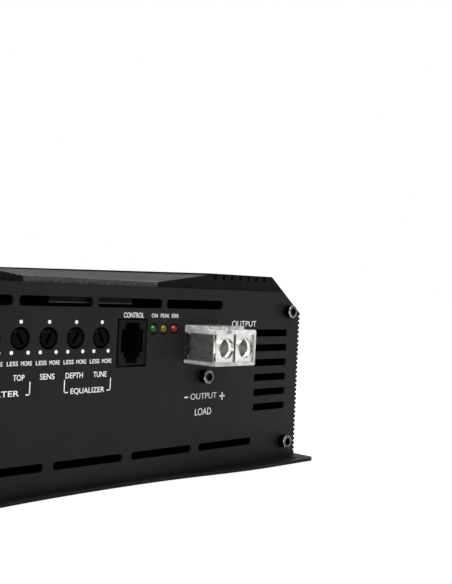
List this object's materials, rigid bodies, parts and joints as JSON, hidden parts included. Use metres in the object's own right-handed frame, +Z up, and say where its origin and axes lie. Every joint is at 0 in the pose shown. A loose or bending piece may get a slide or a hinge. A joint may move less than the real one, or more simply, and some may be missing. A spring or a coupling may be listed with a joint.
{
  "type": "car amplifier",
  "caption": "Finned black car amplifier: control panel, clear screw terminals at both ends, and a flanged base plate.",
  "frame": {"origin": "on the mounting surface, under the middle of the body", "axes": "+X to the right of the control panel, +Y from the control panel towards the power panel, +Z up"},
  "size_m": [0.2206, 0.3518, 0.0743],
  "materials": {
    "anodised_shell": "black anodised extrusion",
    "insert_plate": "dark anodised plate with bare cut edges",
    "coated_steel": "satin black powder coat",
    "panel_coating": "satin black coat",
    "blackened_screws": "blackened steel with worn rims",
    "clear_plastic": "clear moulded plastic",
    "nickel_plate": "satin nickel plate",
    "set_screw_steel": "zinc plated",
    "black_plastic": "moulded black",
    "shaft_plastic": "glossy black",
    "gold_plate": "gold flash",
    "led_green": "tinted epoxy",
    "led_amber": "tinted epoxy",
    "led_red": "tinted epoxy",
    "white_plastic": "moulded",
    "circuit_board": "solder mask",
    "bare_steel": "zinc plated",
    "ferrite": "ferrite",
    "copper_wire": "enamelled copper",
    "capacitor_sleeve": "shrink sleeve",
    "film_capacitor": "dipped",
    "silicone_strip": "silicone rubber"
  },
  "bodies": {
    "chassis": {"base_plate": "coated_steel", "base_screws": "blackened_screws", "board_screws": "bare_steel", "board_standoffs": "black_plastic", "clamp_bars": "bare_steel", "clamp_screws": "bare_steel", "control_board": "circuit_board", "control_board_posts": "bare_steel", "front_panel": "panel_coating", "front_panel_screws": "blackened_screws", "heatsink_shell": "anodised_shell", "input_capacitors": "capacitor_sleeve", "input_jack_block": "black_plastic", "input_jack_inserts": "white_plastic", "input_jack_shells": "nickel_plate", "insulating_strips": "silicone_strip", "led_clip": "led_amber", "led_power": "led_green", "led_protect": "led_red", "main_board": "circuit_board", "output_filter_capacitors": "film_capacitor", "output_inductor_core": "ferrite", "output_inductor_winding": "copper_wire", "pot_body_boost_frequency": "black_plastic", "pot_body_boost_level": "black_plastic", "pot_body_gain": "black_plastic", "pot_body_lowpass": "black_plastic", "pot_body_subsonic": "black_plastic", "power_terminal_ground": "nickel_plate", "power_terminal_housing": "clear_plastic", "power_terminal_positive": "nickel_plate", "power_terminal_remote": "nickel_plate", "power_terminal_screws": "blackened_screws", "rail_capacitors": "capacitor_sleeve", "rear_panel": "panel_coating", "rear_panel_screws": "blackened_screws", "remote_jack": "black_plastic", "remote_jack_contacts": "gold_plate", "speaker_terminal_housing": "clear_plastic", "speaker_terminal_negative": "nickel_plate", "speaker_terminal_positive": "nickel_plate", "speaker_terminal_screw": "blackened_screws", "top_insert": "insert_plate", "transformer_core_left": "ferrite", "transformer_core_right": "ferrite", "transformer_winding_left": "copper_wire", "transformer_winding_right": "copper_wire", "transistors_left": "black_plastic", "transistors_right": "black_plastic"},
    "subsonic_shaft": {"pot_shaft_subsonic": "shaft_plastic"},
    "lowpass_shaft": {"pot_shaft_lowpass": "shaft_plastic"},
    "gain_shaft": {"pot_shaft_gain": "shaft_plastic"},
    "boost_level_shaft": {"pot_shaft_boost_level": "shaft_plastic"},
    "boost_frequency_shaft": {"pot_shaft_boost_frequency": "shaft_plastic"},
    "speaker_clamp_negative": {"speaker_set_screw_negative": "set_screw_steel"},
    "speaker_clamp_positive": {"speaker_set_screw_positive": "set_screw_steel"},
    "power_clamp_ground": {"power_set_screw_ground": "set_screw_steel"},
    "power_clamp_remote": {"power_set_screw_remote": "set_screw_steel"},
    "power_clamp_positive": {"power_set_screw_positive": "set_screw_steel"}
  },
  "joints": [
    {"name": "subsonic_turn", "type": "hinge", "parent": "chassis", "child": "subsonic_shaft", "pos_m": [-0.04018, -0.1594, 0.0505], "axis": [0, 1, 0], "range_deg": [0, 300]},
    {"name": "lowpass_turn", "type": "hinge", "parent": "chassis", "child": "lowpass_shaft", "pos_m": [-0.02936, -0.1594, 0.0505], "axis": [0, 1, 0], "range_deg": [-300, 0]},
    {"name": "gain_turn", "type": "hinge", "parent": "chassis", "child": "gain_shaft", "pos_m": [-0.01854, -0.1594, 0.0505], "axis": [0, 1, 0], "range_deg": [0, 300]},
    {"name": "boost_level_turn", "type": "hinge", "parent": "chassis", "child": "boost_level_shaft", "pos_m": [-0.00772, -0.1594, 0.0505], "axis": [0, 1, 0], "range_deg": [0, 300]},
    {"name": "boost_frequency_turn", "type": "hinge", "parent": "chassis", "child": "boost_frequency_shaft", "pos_m": [0.0031, -0.1594, 0.0505], "axis": [0, 1, 0], "range_deg": [-300, 0]},
    {"name": "speaker_negative_screw", "type": "slide", "parent": "chassis", "child": "speaker_clamp_negative", "axis": [0, 0, 1], "range_m": [-0.003, 0]},
    {"name": "speaker_positive_screw", "type": "slide", "parent": "chassis", "child": "speaker_clamp_positive", "axis": [0, 0, 1], "range_m": [-0.003, 0]},
    {"name": "power_ground_screw", "type": "slide", "parent": "chassis", "child": "power_clamp_ground", "axis": [0, 0, 1], "range_m": [-0.0045, 0]},
    {"name": "power_remote_screw", "type": "slide", "parent": "chassis", "child": "power_clamp_remote", "axis": [0, 0, 1], "range_m": [-0.005, 0]},
    {"name": "power_positive_screw", "type": "slide", "parent": "chassis", "child": "power_clamp_positive", "axis": [0, 0, 1], "range_m": [-0.0045, 0]}
  ]
}
